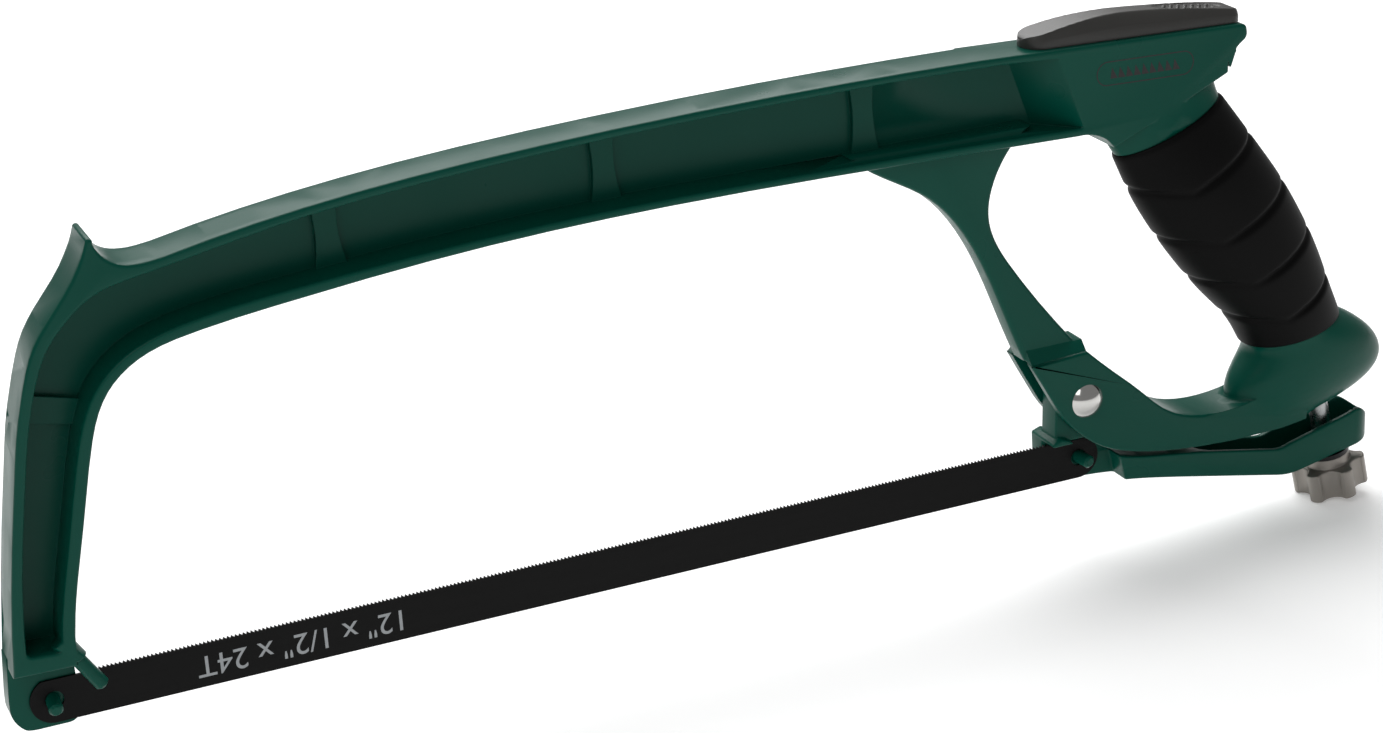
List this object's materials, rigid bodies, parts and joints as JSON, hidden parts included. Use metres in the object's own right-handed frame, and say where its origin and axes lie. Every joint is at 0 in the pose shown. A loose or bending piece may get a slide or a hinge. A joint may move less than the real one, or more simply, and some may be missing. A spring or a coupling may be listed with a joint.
{
  "type": "hacksaw",
  "caption": "Hand hacksaw: die-cast bow frame with rubber pistol grip, saw blade on leaning pins, tension lever drawn up by a star-knob screw, and a sliding storage lid.",
  "frame": {"origin": "bottom centre of the whole saw's bounding box, at rest", "axes": "+X along the blade from the nose to the handle, +Z from the blade up to the beam, +Y away from the open side of the frame's channel"},
  "size_m": [0.4142, 0.0302, 0.1627],
  "materials": {
    "green_paint": "semi-gloss powder coat over die-cast aluminium",
    "grip_rubber": "matte thermoplastic rubber",
    "lid_plastic": "fine-textured hard plastic",
    "blade_steel": "black lacquered bi-metal steel, satin",
    "rivet_steel": "bright polished steel",
    "screw_steel": "zinc plated steel",
    "knob_zinc": "satin die-cast zinc",
    "black_oxide": "black oxide steel",
    "nylon": "natural nylon",
    "bush_bronze": "sintered bronze"
  },
  "bodies": {
    "frame_body": {"frame": "green_paint", "handle_grip": "grip_rubber", "front_blade_pin": "green_paint", "blade_keeper_pin": "green_paint", "pivot_rivet": "rivet_steel", "pivot_washer_near": "nylon", "pivot_washer_far": "nylon", "lid_stop_pin": "screw_steel", "nut_saddle": "screw_steel"},
    "lever_body": {"tension_lever": "green_paint", "rear_blade_pin": "green_paint", "pivot_bush": "bush_bronze"},
    "screw_body": {"tension_screw": "screw_steel", "star_knob": "knob_zinc", "knob_cross_pin": "screw_steel", "screw_clip": "black_oxide", "thrust_washer": "black_oxide"},
    "nut_body": {"barrel_nut": "screw_steel"},
    "blade_body": {"saw_blade": "blade_steel"},
    "lid_body": {"storage_lid": "lid_plastic"}
  },
  "joints": [
    {"name": "knob_turn", "type": "hinge", "parent": "lever_body", "child": "screw_body", "pos_m": [0.18995, 0, 0.01551], "axis": [-0.1994, 0, 0.9799], "range_deg": [-2315.07, 0]},
    {"name": "lever_tilt", "type": "hinge", "parent": "frame_body", "child": "lever_body", "pos_m": [0.10315, 0, 0.05141], "axis": [0, -1, 0], "range_deg": [-4.52, 0]},
    {"name": "nut_travel", "type": "slide", "parent": "lever_body", "child": "nut_body", "axis": [-0.1994, 0, 0.9799], "range_m": [0, 0.00645]},
    {"name": "blade_slack", "type": "slide", "parent": "frame_body", "child": "blade_body", "axis": [1, 0, 0], "range_m": [-0.00082, 0]},
    {"name": "lid_slide", "type": "slide", "parent": "frame_body", "child": "lid_body", "axis": [-0.9993, 0, 0.0361], "range_m": [0, 0.02]}
  ],
  "couplings": [
    {"joint": "lever_tilt", "follows": "knob_turn", "ratio": 0.0019438},
    {"joint": "nut_travel", "follows": "knob_turn", "m_per_rad": -0.00015915},
    {"joint": "blade_slack", "follows": "knob_turn", "m_per_rad": 0.000019799}
  ]
}
